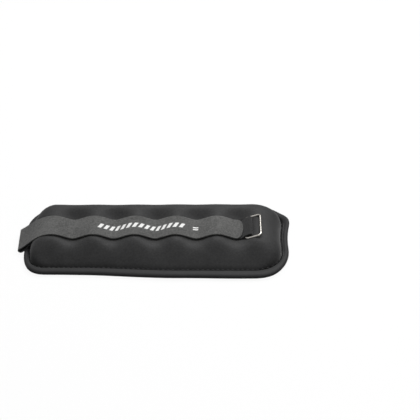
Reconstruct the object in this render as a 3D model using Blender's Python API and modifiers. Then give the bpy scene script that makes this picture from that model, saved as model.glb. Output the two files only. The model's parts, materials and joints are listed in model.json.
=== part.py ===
"""Ankle cuff weight: a six-chamber padded cuff with a fold-over closing strap and a wire ring.

Frame: X along the cuff, Y across it, Z up. The cuff lies flat on z = 0 with its
back cover down, and the origin is the middle of the bounding box's base.
Everything is in metres. "Local" X below is measured from the middle of the pouch.
"""
import math

import bmesh
import bpy
from mathutils import Vector

# ---------------------------------------------------------------- driving sizes
POUCH_X = 0.0036            # the pouch's middle, so that strap fold and cuff balance about x = 0
CHAMBERS = 6
PITCH = 0.0553              # from one tacked valley to the next
GAP = 0.0003                # clearance between touching parts
WELD_DISTANCE = 0.00001

# padded pouch
POUCH_HALF_LENGTH = 0.165
POUCH_HALF_WIDTH = 0.0515
RIM_RISE_X = 0.040          # how far in from the ends the pouch reaches its full height
RIM_RISE_Y = 0.020          # the same from the front and back edges
RIM_POWER = 2.5             # superellipse power of the rim and of the corners
FRONT_SLOPE = 0.034         # how far in from the front edge the sagging front slope starts
FRONT_POWER = 1.8           # superellipse power of that slope
FRONT_TOP = 0.0300          # height that the front slope falls from
BACK_TOP = 0.0335           # height of the bulge behind the strap
CREST_TOP = 0.0266          # height of a chamber under the strap
VALLEY_TOP = 0.0168         # height at a tacked valley under the strap
CHANNEL_HALF = 0.021        # half the width that the strap holds down
CHANNEL_FADE = 0.025        # distance over which that fades out
COVER_THICKNESS = 0.003     # laminated neoprene
COVER_LIP = 0.0015          # upright lip at the foot of the top cover
BAG_CLEARANCE = 0.0045      # from the pouch's outside to the weight bag's outside

# bound edge
EDGE_WIDTH = 0.012
EDGE_HEIGHT = 0.0070
EDGE_SIDES = 10

# straps, all measured at the middle of the closing strap's thickness
STRAP_WIDTH = 0.037
STRAP_THICKNESS = 0.0015
HOOK_WIDTH = 0.036
HOOK_THICKNESS = 0.0007
STACK = 0.0024              # closing strap, glue line and hook tape together
CREST_Z = 0.0324
VALLEY_Z = 0.0214
SHOULDER = (-0.1615, 0.0238)
FOLD = (-0.1822, 0.0062)    # axis of the fold at the cuff's left end, local x and z
FOLD_RADIUS = 0.0024
TIP_LENGTH = 0.0064         # how far the strap's free end passes the last valley
TIP_SLOPE = math.radians(31.0)
TIP_CHAMFER = 0.0065
HOOKED_SEGMENTS = 3         # segments before the pull tab that carry hook tape
BASE_THICKNESS = 0.0016
BASE_DROP = 0.0033          # from the closing strap's middle to the base strap's middle
TACK_SIZE = (0.0020, 0.028, 0.0008)
TACK_BACK = 0.0030          # from a valley back to its tack

# ring and the webbing loop that holds it
WIRE = 0.0028
RING_LENGTH = 0.022
RING_WIDTH = 0.0404
RING_CORNER = 0.0042
RING_PIVOT = (0.1214, 0.0243)
RING_TILT = math.radians(21.0)
LOOP_WIDTH = 0.035
LOOP_THICKNESS = 0.0016
LOOP_RADIUS = 0.0027        # inside fold of the loop, to the webbing's middle
LOOP_LOWER = (0.0007, 0.0050, 0.0095, 0.0140, 0.0178)   # stations of its lower layer from the last valley
LOOP_UPPER = (0.0178, 0.0135, 0.0107, 0.0092, 0.0076, 0.0050, 0.0022)   # and of its upper layer
LOOP_RISES = (0.0054, 0.0054, 0.0052, 0.0038, 0.0026, 0.0019, 0.0017)   # how far that lies above the lower


# ---------------------------------------------------------------- scene helpers
def clear_scene():
    for obj in list(bpy.data.objects):
        bpy.data.objects.remove(obj, do_unlink=True)


def new_collection(name):
    collection = bpy.data.collections.new(name)
    bpy.context.scene.collection.children.link(collection)
    return collection


def new_material(name, color, roughness, metallic=0.0):
    material = bpy.data.materials.new(name)
    material.use_nodes = True
    shader = material.node_tree.nodes["Principled BSDF"]
    shader.inputs["Base Color"].default_value = (*color, 1.0)
    shader.inputs["Roughness"].default_value = roughness
    shader.inputs["Metallic"].default_value = metallic
    return material


def add_empty(name, x, z, parent=None):
    """An empty on a joint's axis. Local x is measured from the pouch's middle."""
    empty = bpy.data.objects.new(name, None)
    empty.empty_display_size = 0.01
    PARTS.objects.link(empty)
    here = Vector((POUCH_X + x, 0.0, z))
    if parent is None:
        empty.location = here
    else:
        empty.parent = parent
        empty.location = here - WORLD[parent.name]
    WORLD[name] = here
    return empty


def finish(obj, material, parent, location, tilt=0.0):
    """Names the object's material, parents it and puts its origin at a world place."""
    obj.data.materials.clear()
    obj.data.materials.append(material)
    if obj.name not in PARTS.objects:
        PARTS.objects.link(obj)
    for other in list(obj.users_collection):
        if other != PARTS:
            other.objects.unlink(obj)
    obj.parent = parent
    obj.location = Vector(location) - WORLD[parent.name]
    if tilt:
        obj.rotation_euler.y = -tilt
    return obj


def mesh_object(name, bm):
    bmesh.ops.recalc_face_normals(bm, faces=bm.faces)
    mesh = bpy.data.meshes.new(name)
    bm.to_mesh(mesh)
    bm.free()
    obj = bpy.data.objects.new(name, mesh)
    return obj


def as_mesh(name, curve):
    """The curve's surface as a mesh object, with its caps welded on."""
    source = bpy.data.objects.new(name + "_path", curve)
    bpy.context.scene.collection.objects.link(source)
    evaluated = source.evaluated_get(bpy.context.evaluated_depsgraph_get())
    bm = bmesh.new()
    bm.from_mesh(bpy.data.meshes.new_from_object(evaluated))
    bmesh.ops.remove_doubles(bm, verts=bm.verts, dist=WELD_DISTANCE)
    bpy.data.objects.remove(source)
    return mesh_object(name, bm)


def slab(name, outline, half_depth):
    """A flat outline in local XY with a thickness of twice half_depth along local Z."""
    curve = bpy.data.curves.new(name, "CURVE")
    curve.dimensions = "2D"
    curve.fill_mode = "BOTH"
    curve.extrude = half_depth
    spline = curve.splines.new("POLY")
    spline.points.add(len(outline) - 1)
    for point, (x, y) in zip(spline.points, outline):
        point.co = (x, y, 0.0, 1.0)
    spline.use_cyclic_u = True
    return bpy.data.objects.new(name, curve)


def band_outline(path, thickness, upright):
    """The outline of a strip of even thickness along an open path.

    The points whose numbers are in upright are cut upright instead of square to the path.
    """
    upper, lower = [], []
    for i, (x, z) in enumerate(path):
        before = path[max(i - 1, 0)]
        after = path[min(i + 1, len(path) - 1)]
        into = Vector((x - before[0], z - before[1]))
        out = Vector((after[0] - x, after[1] - z))
        into = into.normalized() if into.length else out.normalized()
        out = out.normalized() if out.length else into.normalized()
        along = (into + out).normalized()
        side = Vector((-along.y, along.x)) * (thickness / 2 / max(along.dot(into), 0.5))
        if i in upright:
            side = Vector((0.0, thickness / 2 / along.x))
        upper.append((x + side.x, z + side.y))
        lower.append((x - side.x, z - side.y))
    return upper + lower[::-1]


def band(name, path, thickness, width, upright=()):
    """Webbing seen from the side: a path in local X and Z, as wide as width along Y."""
    obj = slab(name, band_outline(path, thickness, upright), width / 2)
    obj.rotation_euler.x = math.pi / 2
    return obj


# ---------------------------------------------------------------- pouch surface
def smoothstep(low, high, value):
    t = min(max((value - low) / (high - low), 0.0), 1.0)
    return t * t * (3 - 2 * t)


def valley_share(x):
    """1 at a tacked valley and 0 at a crest. The outer halves of the end chambers have no valley."""
    last_valley = PITCH * (CHAMBERS / 2 - 1)
    if abs(x) > last_valley + PITCH / 2:
        return 0.0
    return 0.5 + 0.5 * math.cos(2 * math.pi * x / PITCH)


def roof(x, y):
    """Height of the pouch's top away from its rim."""
    bulge = BACK_TOP if y > 0 else FRONT_TOP
    channel = 1 - smoothstep(CHANNEL_HALF, CHANNEL_HALF + CHANNEL_FADE, abs(y))
    under_strap = CREST_TOP + (VALLEY_TOP - CREST_TOP) * valley_share(x)
    return bulge + (under_strap - bulge) * channel


def front_share(y, inset):
    """Share of its height that the pouch keeps on the front slope: 1 inside it and 0 at the edge."""
    t = max(0.0, (FRONT_SLOPE - (POUCH_HALF_WIDTH - inset) - y) / FRONT_SLOPE)
    return max(0.0, 1 - t ** FRONT_POWER) ** (1 / FRONT_POWER)


def to_outline(a, b, inset):
    """Takes a grid point (a, b in rim units) to the rounded pouch, with superellipse corners."""
    half_x = POUCH_HALF_LENGTH - inset
    half_y = POUCH_HALF_WIDTH - inset
    ux = max(0.0, (abs(a) - (half_x - RIM_RISE_X)) / RIM_RISE_X)
    uy = max(0.0, (abs(b) - (half_y - RIM_RISE_Y)) / RIM_RISE_Y)
    if ux > 0 and uy > 0:
        shrink = max(ux, uy) / (ux ** RIM_POWER + uy ** RIM_POWER) ** (1 / RIM_POWER)
        ux *= shrink
        uy *= shrink
        a = math.copysign(half_x - RIM_RISE_X + ux * RIM_RISE_X, a)
        b = math.copysign(half_y - RIM_RISE_Y + uy * RIM_RISE_Y, b)
    rise = max(0.0, 1 - ux ** RIM_POWER - uy ** RIM_POWER) ** (1 / RIM_POWER)
    return a, b, rise


def rim_steps(half, rise, inner_steps, rim_count):
    """Grid lines from -half to half: even inside, closing up towards the rim."""
    inner = [(half - rise) * (2 * i / inner_steps - 1) for i in range(inner_steps + 1)]
    rim = [half - rise + rise * math.sin(math.pi / 2 * k / rim_count) for k in range(1, rim_count + 1)]
    return [-r for r in rim[::-1]] + inner + rim


def chamber_span(index):
    """Local x of the two ends of chamber 1 to 6, with clearance at the valleys."""
    left = (index - 1 - CHAMBERS / 2) * PITCH + GAP / 2
    right = (index - CHAMBERS / 2) * PITCH - GAP / 2
    if index == 1:
        left = -POUCH_HALF_LENGTH
    if index == CHAMBERS:
        right = POUCH_HALF_LENGTH
    return left, right


def grid_lines_x(index, inset):
    left, right = chamber_span(index)
    half = POUCH_HALF_LENGTH - inset
    if index == 1:
        rim = [x for x in rim_steps(half, RIM_RISE_X, 1, 4) if x <= -(half - RIM_RISE_X)]
        return rim + [(rim[-1] + right - inset) / 2, right - inset]
    if index == CHAMBERS:
        return [-x for x in grid_lines_x(1, inset)][::-1]
    steps = 6
    return [left + inset + (right - left - 2 * inset) * i / steps for i in range(steps + 1)]


def pouch_grid(index, inset, base):
    """The chamber's top surface as an open sheet, inset from the pouch's outside."""
    half_y = POUCH_HALF_WIDTH - inset
    xs = grid_lines_x(index, inset)
    ys = rim_steps(half_y, RIM_RISE_Y, 5, 4)
    bm = bmesh.new()
    bmesh.ops.create_grid(bm, x_segments=len(xs) - 1, y_segments=len(ys) - 1, size=1.0)
    columns = sorted({round(v.co.x, 5) for v in bm.verts})
    rows = sorted({round(v.co.y, 5) for v in bm.verts})
    for v in bm.verts:
        a = xs[columns.index(round(v.co.x, 5))]
        b = ys[rows.index(round(v.co.y, 5))]
        x, y, rise = to_outline(a, b, inset)
        v.co = (x, y, base + (roof(x, y) - inset - base) * rise * front_share(y, inset))
    return bm


# ---------------------------------------------------------------- pouch parts
def top_cover(index):
    base = COVER_THICKNESS + GAP
    bm = pouch_grid(index, 0.0, base + COVER_LIP)
    rim = [e for e in bm.edges if e.is_boundary and max(v.co.z for v in e.verts) < base + COVER_LIP + GAP]
    for item in bmesh.ops.extrude_edge_only(bm, edges=rim)["geom"]:
        if isinstance(item, bmesh.types.BMVert):
            item.co.z = base
    obj = mesh_object(f"top_cover_{index}", bm)
    shell = obj.modifiers.new("Neoprene", "SOLIDIFY")
    shell.thickness = COVER_THICKNESS
    shell.offset = -1.0
    return finish(obj, NEOPRENE, CHAMBER[index], (POUCH_X, 0, 0))


def weight_bag(index):
    """A cloth bag of iron grit: the pouch's shape, smaller, with a flat underside."""
    base = COVER_THICKNESS + 2 * GAP
    bm = pouch_grid(index, BAG_CLEARANCE, base + 0.001)
    skirt = bmesh.ops.extrude_face_region(bm, geom=bm.faces[:])
    for item in skirt["geom"]:
        if isinstance(item, bmesh.types.BMVert):
            item.co.z = base
    bmesh.ops.dissolve_limit(bm, angle_limit=math.radians(1), verts=bm.verts, edges=bm.edges)
    return finish(mesh_object(f"weight_bag_{index}", bm), BAG_CLOTH, CHAMBER[index], (POUCH_X, 0, 0))


def corner_points(half_x, half_y, rise_x, rise_y, steps):
    """One rounded corner at +X, +Y, from its end on the long side round to the short side."""
    points = []
    for k in range(steps + 1):
        angle = math.pi / 2 * (1 - k / steps)
        across = math.cos(angle) ** (2 / RIM_POWER)
        along = math.sin(angle) ** (2 / RIM_POWER)
        points.append((half_x - rise_x + rise_x * across, half_y - rise_y + rise_y * along))
    return points


def back_cover(index):
    left, right = chamber_span(index)
    inside = POUCH_HALF_WIDTH
    if index in (1, CHAMBERS):
        corner = corner_points(POUCH_HALF_LENGTH, inside, RIM_RISE_X, RIM_RISE_Y, 6)
        start = chamber_span(CHAMBERS)[0]
        outline = [(start, inside)] + corner + [(x, -y) for x, y in corner[::-1]] + [(start, -inside)]
        if index == 1:
            outline = [(-x, y) for x, y in outline]
    else:
        outline = [(left, -inside), (right, -inside), (right, inside), (left, inside)]
    obj = slab(f"back_cover_{index}", outline, COVER_THICKNESS / 2)
    return finish(obj, NEOPRENE, CHAMBER[index], (POUCH_X, 0, COVER_THICKNESS / 2))


# ---------------------------------------------------------------- bound edge
def edge_profile():
    """The bound edge's oval section, used to bevel the edge paths."""
    curve = bpy.data.curves.new("edge_profile", "CURVE")
    curve.dimensions = "2D"
    spline = curve.splines.new("POLY")
    spline.points.add(EDGE_SIDES - 1)
    for k, point in enumerate(spline.points):
        angle = 2 * math.pi * (k + 0.5) / EDGE_SIDES
        scale = 1 / math.cos(math.pi / EDGE_SIDES)
        x = EDGE_WIDTH / 2 * math.cos(angle)
        y = EDGE_HEIGHT / 2 * math.sin(angle) * scale
        point.co = (x, min(max(y, -EDGE_HEIGHT / 2), EDGE_HEIGHT / 2), 0.0, 1.0)
    spline.use_cyclic_u = True
    obj = bpy.data.objects.new("edge_profile", curve)
    obj.hide_render = True
    obj.display_type = "WIRE"
    GUIDES.objects.link(obj)
    return obj


def edge_binding(name, path, index):
    curve = bpy.data.curves.new(name, "CURVE")
    curve.dimensions = "3D"
    curve.twist_mode = "Z_UP"
    curve.bevel_mode = "OBJECT"
    curve.bevel_object = PROFILE
    curve.use_fill_caps = True
    spline = curve.splines.new("POLY")
    spline.points.add(len(path) - 1)
    for point, (x, y) in zip(spline.points, path):
        point.co = (x, y, 0.0, 1.0)
    return finish(as_mesh(name, curve), BINDING, CHAMBER[index], (POUCH_X, 0, EDGE_HEIGHT / 2))


def edge_bindings():
    offset = EDGE_WIDTH / 2 + GAP
    middle_y = POUCH_HALF_WIDTH + offset
    rise_x = RIM_RISE_X + offset
    rise_y = RIM_RISE_Y + offset
    corner = corner_points(POUCH_HALF_LENGTH + offset, middle_y, rise_x, rise_y, 7)
    start = chamber_span(CHAMBERS)[0]
    right_end = [(start, middle_y)] + corner + [(x, -y) for x, y in corner[::-1]] + [(start, -middle_y)]
    left_end = [(-x, y) for x, y in right_end[::-1]]
    edge_binding("edge_binding_left_end", left_end, 1)
    edge_binding("edge_binding_right_end", right_end, CHAMBERS)
    for index in range(2, CHAMBERS):
        left, right = chamber_span(index)
        edge_binding(f"edge_binding_front_{index}", [(left, -middle_y), (right, -middle_y)], index)
        edge_binding(f"edge_binding_back_{index}", [(right, middle_y), (left, middle_y)], index)


# ---------------------------------------------------------------- straps
def valley_x(number):
    """Local x of tacked valley 1 to 5."""
    return (number - CHAMBERS / 2) * PITCH


def crest_x(number):
    """Local x of chamber 1 to 6's crest."""
    return (number - (CHAMBERS + 1) / 2) * PITCH


def strap_nodes():
    """Where the closing strap bends: its shoulder, then crest and valley by turns."""
    nodes = [Vector(SHOULDER)]
    for number in range(1, CHAMBERS):
        nodes.append(Vector((crest_x(number), CREST_Z)))
        nodes.append(Vector((valley_x(number), VALLEY_Z)))
    return nodes


def fold_start(first_node):
    """Where the closing strap leaves the fold: its line to the first node touches the fold's circle."""
    fold = Vector(FOLD)
    reach = first_node - fold
    slope = math.atan2(reach.y, reach.x) - math.asin(FOLD_RADIUS / reach.length)
    return fold + FOLD_RADIUS * Vector((-math.sin(slope), math.cos(slope))), slope


def trim_at(slope_a, slope_b):
    """How much shorter a segment is at a bend, so that its corners stay clear of the next one."""
    return GAP / 2 + STACK / 2 * math.tan(abs(slope_a - slope_b) / 2)


def strap_segment(name, begin, end, width, thickness, chamfer=0.0):
    """A flat segment along local X. With a chamfer, its far corners are cut off."""
    half = width / 2
    far_side = [(end, -half), (end, half)]
    if chamfer:
        far_side = [(end - chamfer, -half), (end, chamfer - half)]
        far_side += [(end, half - chamfer), (end - chamfer, half)]
    return slab(name, [(begin, -half)] + far_side + [(begin, half)], thickness / 2)


def closing_strap():
    nodes = strap_nodes()
    start, first_slope = fold_start(nodes[0])
    points = [start] + nodes
    slopes = [first_slope]
    for a, b in zip(nodes, nodes[1:]):
        slopes.append(math.atan2(b.y - a.y, b.x - a.x))
    slopes.append(TIP_SLOPE)
    count = len(slopes)
    first_hooked = count - 1 - HOOKED_SEGMENTS
    for i in range(count):
        number = i + 1
        is_tip = i == count - 1
        hinge = Vector(FOLD) if i == 0 else points[i]
        parent = add_empty(f"strap_hinge_{number}", hinge.x, hinge.y, STRAP_PARENT[-1])
        STRAP_PARENT.append(parent)
        along = Vector((math.cos(slopes[i]), math.sin(slopes[i])))
        across = Vector((-along.y, along.x))
        begin = GAP if i == 0 else trim_at(slopes[i - 1], slopes[i])
        if is_tip:
            end = TIP_LENGTH / along.x
        else:
            end = (points[i + 1] - points[i]).length - trim_at(slopes[i], slopes[i + 1])
        chamfer = TIP_CHAMFER if is_tip else 0.0
        top = points[i] + across * (STACK - STRAP_THICKNESS) / 2
        strap = strap_segment(f"closing_strap_{number}", begin, end, STRAP_WIDTH, STRAP_THICKNESS, chamfer)
        finish(strap, STRAP_GREY, parent, (POUCH_X + top.x, 0, top.y), slopes[i])
        if i >= first_hooked and not is_tip:
            low = points[i] - across * (STACK - HOOK_THICKNESS) / 2
            hook = strap_segment(f"hook_tape_{number}", begin, end, HOOK_WIDTH, HOOK_THICKNESS)
            finish(hook, HOOK_BLACK, parent, (POUCH_X + low.x, 0, low.y), slopes[i])


def lowered(points, drop):
    """A path moved down its own normal by drop, for webbing that runs under the closing strap."""
    path = []
    for i, here in enumerate(points):
        before = points[max(i - 1, 0)]
        after = points[min(i + 1, len(points) - 1)]
        along = (after - before).normalized()
        path.append((here.x + along.y * drop, here.y - along.x * drop))
    return path


def base_straps():
    """Webbing sewn along the pouch under the closing strap, cut here at each valley."""
    nodes = strap_nodes()
    fold = Vector(FOLD)
    slope = fold_start(nodes[0])[1]
    tail = fold + FOLD_RADIUS * Vector((math.sin(slope), -math.cos(slope)))
    shoulder, first_crest, first_valley = nodes[0], nodes[1], nodes[2]
    lower_shoulder = lowered([tail, shoulder, first_crest], BASE_DROP)[1]
    path = [tuple(tail), lower_shoulder, (first_crest.x, first_crest.y - BASE_DROP)]
    path.append((first_valley.x - GAP / 2, first_valley.y - BASE_DROP))
    paths = {1: path}
    for index in range(2, CHAMBERS):
        left, right = chamber_span(index)
        low = VALLEY_Z - BASE_DROP
        paths[index] = [(left, low), (crest_x(index), CREST_Z - BASE_DROP), (right, low)]
    for index, path in paths.items():
        last = len(path) - 1
        upright = (last,) if index == 1 else (0, last)
        strap = band(f"base_strap_{index}", path, BASE_THICKNESS, STRAP_WIDTH, upright)
        finish(strap, WEBBING, CHAMBER[index], (POUCH_X, 0, 0))


def tack_seams():
    """Bar tacks that sew the base strap down at each valley."""
    slope = math.atan2(VALLEY_Z - CREST_Z, PITCH / 2)
    along = Vector((math.cos(slope), math.sin(slope)))
    across = Vector((-along.y, along.x))
    for number in range(1, CHAMBERS):
        base = Vector((valley_x(number), VALLEY_Z - BASE_DROP))
        centre = base - along * TACK_BACK + across * (BASE_THICKNESS / 2 + GAP / 2 + TACK_SIZE[2] / 2)
        bpy.ops.mesh.primitive_cube_add(size=1.0)
        tack = bpy.context.object
        tack.name = f"tack_seam_{number}"
        for v in tack.data.vertices:
            v.co = (v.co.x * TACK_SIZE[0], v.co.y * TACK_SIZE[1], v.co.z * TACK_SIZE[2])
        finish(tack, THREAD, CHAMBER[number], (POUCH_X + centre.x, 0, centre.y), slope)


# ---------------------------------------------------------------- ring and its loop
def pouch_slope(x):
    step = 0.0005
    return math.atan2(roof(x + step, 0) - roof(x - step, 0), 2 * step)


def on_pouch(x, height):
    """A point above the pouch's strap line, square to the surface."""
    slope = pouch_slope(x)
    return Vector((x - math.sin(slope) * height, roof(x, 0) + math.cos(slope) * height))


def ring_loop():
    """Webbing that runs up under the ring's inner bar, folds back over it and ends under the strap tip."""
    lift = GAP + LOOP_THICKNESS / 2
    start = valley_x(CHAMBERS - 1) + GAP
    bottom = [on_pouch(start + station, lift) for station in LOOP_LOWER]
    slope = math.atan2(bottom[-1].y - bottom[-2].y, bottom[-1].x - bottom[-2].x)
    across = Vector((-math.sin(slope), math.cos(slope)))
    centre = bottom[-1] + across * LOOP_RADIUS
    fold = []
    for k in range(1, 6):
        angle = slope - math.pi / 2 + math.pi * k / 6
        fold.append(centre + LOOP_RADIUS * Vector((math.cos(angle), math.sin(angle))))
    over = [on_pouch(start + station, lift + rise) for station, rise in zip(LOOP_UPPER, LOOP_RISES)]
    path = [tuple(p) for p in bottom + fold + over]
    loop = band("ring_loop", path, LOOP_THICKNESS, LOOP_WIDTH)
    finish(loop, WEBBING, CHAMBER[CHAMBERS], (POUCH_X, 0, 0))


def ring():
    """A wire rectangle whose inner bar is the joint's axis."""
    points = []
    half = RING_WIDTH / 2
    corners = ((0, -half), (RING_LENGTH, -half), (RING_LENGTH, half), (0, half))
    for number, (x, y) in enumerate(corners):
        first = math.pi * (1 + number / 2)
        centre_x = x + (RING_CORNER if x == 0 else -RING_CORNER)
        centre_y = y + (RING_CORNER if y < 0 else -RING_CORNER)
        for k in range(4):
            angle = first + math.pi / 2 * k / 3
            dx = RING_CORNER * math.cos(angle)
            dy = RING_CORNER * math.sin(angle)
            points.append((centre_x + dx, centre_y + dy))
    curve = bpy.data.curves.new("ring", "CURVE")
    curve.dimensions = "3D"
    curve.bevel_depth = WIRE / 2
    curve.bevel_resolution = 2
    spline = curve.splines.new("POLY")
    spline.points.add(len(points) - 1)
    for point, (x, y) in zip(spline.points, points):
        point.co = (x, y, 0.0, 1.0)
    spline.use_cyclic_u = True
    obj = bpy.data.objects.new("ring", curve)
    hinge = add_empty("ring_hinge", *RING_PIVOT, CHAMBER[CHAMBERS])
    finish(obj, NICKEL, hinge, (POUCH_X + RING_PIVOT[0], 0, RING_PIVOT[1]), RING_TILT)


# ---------------------------------------------------------------- assembly
clear_scene()
PARTS = new_collection("ankle_cuff_weight")
GUIDES = new_collection("guides")
WORLD = {}

NEOPRENE = new_material("neoprene", (0.028, 0.028, 0.029), 0.72)
BINDING = new_material("binding", (0.022, 0.022, 0.023), 0.65)
BAG_CLOTH = new_material("bag_cloth", (0.18, 0.17, 0.15), 0.85)
WEBBING = new_material("webbing", (0.018, 0.018, 0.019), 0.80)
STRAP_GREY = new_material("strap_grey", (0.115, 0.115, 0.112), 0.82)
HOOK_BLACK = new_material("hook_black", (0.012, 0.012, 0.012), 0.55)
THREAD = new_material("thread", (0.020, 0.020, 0.020), 0.60)
NICKEL = new_material("nickel", (0.70, 0.68, 0.64), 0.22, 1.0)

CHAMBER = {1: add_empty("chamber_1_root", 0.0, 0.0)}
for chamber_index in range(2, CHAMBERS + 1):
    name = f"wrap_hinge_{chamber_index - 1}"
    CHAMBER[chamber_index] = add_empty(name, valley_x(chamber_index - 1), 0.0, CHAMBER[chamber_index - 1])
STRAP_PARENT = [CHAMBER[1]]
PROFILE = edge_profile()

for chamber_index in range(1, CHAMBERS + 1):
    top_cover(chamber_index)
    back_cover(chamber_index)
    weight_bag(chamber_index)
edge_bindings()
base_straps()
tack_seams()
closing_strap()
ring_loop()
ring()
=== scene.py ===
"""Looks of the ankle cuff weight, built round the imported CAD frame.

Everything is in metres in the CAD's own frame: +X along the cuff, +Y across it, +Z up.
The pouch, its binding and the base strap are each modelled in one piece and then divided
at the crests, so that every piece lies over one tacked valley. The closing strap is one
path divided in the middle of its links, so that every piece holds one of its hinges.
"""
import json
import math

import bmesh
import bpy
import numpy as np
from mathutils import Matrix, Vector


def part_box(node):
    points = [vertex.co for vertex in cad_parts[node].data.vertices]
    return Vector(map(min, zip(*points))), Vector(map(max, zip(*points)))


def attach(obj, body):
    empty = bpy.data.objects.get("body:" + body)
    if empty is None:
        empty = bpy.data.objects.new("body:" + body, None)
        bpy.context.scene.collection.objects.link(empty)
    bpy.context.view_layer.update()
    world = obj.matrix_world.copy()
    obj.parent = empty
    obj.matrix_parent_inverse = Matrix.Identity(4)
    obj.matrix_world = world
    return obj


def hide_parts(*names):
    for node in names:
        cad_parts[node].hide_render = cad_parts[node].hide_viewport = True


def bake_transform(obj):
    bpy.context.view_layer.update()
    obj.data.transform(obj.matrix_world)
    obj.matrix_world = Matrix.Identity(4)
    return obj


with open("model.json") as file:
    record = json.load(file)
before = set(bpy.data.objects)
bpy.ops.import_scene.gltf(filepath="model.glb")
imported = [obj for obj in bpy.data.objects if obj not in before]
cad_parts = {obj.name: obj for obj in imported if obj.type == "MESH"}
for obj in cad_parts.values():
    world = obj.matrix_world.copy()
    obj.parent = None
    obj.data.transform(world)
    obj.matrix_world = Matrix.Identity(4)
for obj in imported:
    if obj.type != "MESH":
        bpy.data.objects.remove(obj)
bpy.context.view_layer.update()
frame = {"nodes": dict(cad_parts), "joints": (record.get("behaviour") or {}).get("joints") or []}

OUT_X, OUT_Y = 0.0036, 0.0006     # how far the sewn pouch spreads beyond its CAD foot

# ---------------------------------------------------------------- places read from the frame
JOINTS = {joint["name"]: joint for joint in frame["joints"]}
CHAMBERS = 6
VALLEYS = [JOINTS[f"wrap_{k}_{k + 1}"]["pos_m"][0] for k in range(1, CHAMBERS)]
PITCH = VALLEYS[1] - VALLEYS[0]
MIDDLE = VALLEYS[2]
CRESTS = [VALLEYS[0] + PITCH * (k - 0.5) for k in range(CHAMBERS)]
END_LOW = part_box("top_cover_1")[0]
END_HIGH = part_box("top_cover_6")[1]
HALF_LENGTH = (END_HIGH.x - END_LOW.x) / 2 + OUT_X
HALF_WIDTH = END_HIGH.y + OUT_Y
FOLD = Vector(JOINTS["strap_open"]["pos_m"])
BENDS = sorted((n for n in JOINTS if n.startswith("strap_bend")), key=lambda n: int(n.split("_")[-1]))
STRAP_NODES = [Vector(JOINTS[name]["pos_m"]) for name in BENDS]
STRAP_TIP_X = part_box("closing_strap_12")[1].x
RING_PIVOT = Vector(JOINTS["ring_swing"]["pos_m"])
RING_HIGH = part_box("ring")[1]

# ---------------------------------------------------------------- sizes of the looks
LEFT_RIM, RIGHT_RIM = 0.030, 0.038      # how far in the pouch rises from its ends
FRONT_RIM, BACK_RIM = 0.034, 0.030      # and from its long edges
END_ROUND, BACK_ROUND = 2.4, 3.0        # superellipse powers of those rises
FRONT_EASE = 0.4            # the share of the front slope over which it steepens
FRONT_FALL = 0.90           # how much of the height that slope loses before it turns into the groove
# superellipse powers of the outline's corners, by the signs of x and y
CORNERS = {(-1, -1): 3.3, (1, -1): 2.4, (-1, 1): 1.65, (1, 1): 2.3}
FRONT_TOP, BACK_TOP = 0.0300, 0.0333
CREST_TOP = 0.0268
VALLEY_TOP = 0.0178
LIP_RISE = 0.0030           # the pouch swells up beside the strap's edges
CHANNEL_HALF, CHANNEL_FADE = 0.018, 0.022
STRAP_HOLD = 0.0185
PAST_RING = (0.124, 0.148)        # where the strap's channel fades out beyond the ring
GROOVE_HEIGHT = 0.0020
GROOVE_STEEP = 0.10         # the share of the rim that turns down steeply into the groove
COVER_SKIN = 0.0024
COVER_PRESSURE = 2.0
COVER_SWELL = 0.0035        # the most that the simulation may move a point
SIM_FRAMES = 18
BACK_HEIGHT, BACK_DIP = 0.0030, 0.0001
BACK_SKIN = 0.0026

STRAP_WIDTH = 0.037
TIP_SLOPE = math.radians(31)
STRAP_CLOTH = 0.0014
HOOK_DEPTH = 0.0010
FOLD_RADIUS = 0.0026
CREST_FILLET, VALLEY_FILLET = 0.0115, 0.0062    # how far from a bend's corner its round part reaches
BASE_CLOTH = 0.0016
BASE_DROP = 0.0029
LOOP_WIDTH = 0.035
LOOP_CLOTH = 0.0015
WIRE_RADIUS = 0.0014
RING_CORNER = 0.0042

MARK_START, MARK_END = -0.0800, 0.0427      # the printed bars, along the strap from the cuff's middle
MARK_PITCH, MARK_SHARE = 0.00818, 0.60
MARK_SLANT, MARK_HALF = 0.50, 0.0042
PAIR_START, PAIR_END = 0.0525, 0.0605


# ---------------------------------------------------------------- general mesh helpers
def link(obj):
    bpy.context.scene.collection.objects.link(obj)
    return obj


def mesh_from(name, points, faces, material, smooth=True):
    mesh = bpy.data.meshes.new(name)
    mesh.from_pydata([tuple(p) for p in points], [], [tuple(f) for f in faces])
    mesh.update()
    if smooth:
        mesh.shade_smooth()
    if material:
        mesh.materials.append(material)
    return link(bpy.data.objects.new(name, mesh))


def sheet_faces(rows, columns, close_rows=False, close_columns=False):
    """Quads over a rows by columns lattice whose points run along the columns first."""
    faces = []
    for i in range(rows if close_rows else rows - 1):
        for j in range(columns if close_columns else columns - 1):
            i2, j2 = (i + 1) % rows, (j + 1) % columns
            faces.append((i * columns + j, i2 * columns + j, i2 * columns + j2, i * columns + j2))
    return faces


def apply_modifiers(obj):
    bpy.context.view_layer.update()
    evaluated = obj.evaluated_get(bpy.context.evaluated_depsgraph_get())
    mesh = bpy.data.meshes.new_from_object(evaluated)
    obj.modifiers.clear()
    obj.data = mesh
    return obj


def subdivide(obj, levels):
    modifier = obj.modifiers.new("Subdivision", "SUBSURF")
    modifier.levels = levels
    modifier.render_levels = levels
    return apply_modifiers(obj)


def solidify(obj, thickness, offset=-1.0):
    modifier = obj.modifiers.new("Thickness", "SOLIDIFY")
    modifier.thickness = thickness
    modifier.offset = offset
    return apply_modifiers(obj)


def coordinates(obj):
    co = np.empty(len(obj.data.vertices) * 3)
    obj.data.vertices.foreach_get("co", co)
    return co.reshape(-1, 3)


def move_to(obj, co):
    obj.data.vertices.foreach_set("co", co.ravel())
    obj.data.update()


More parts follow.
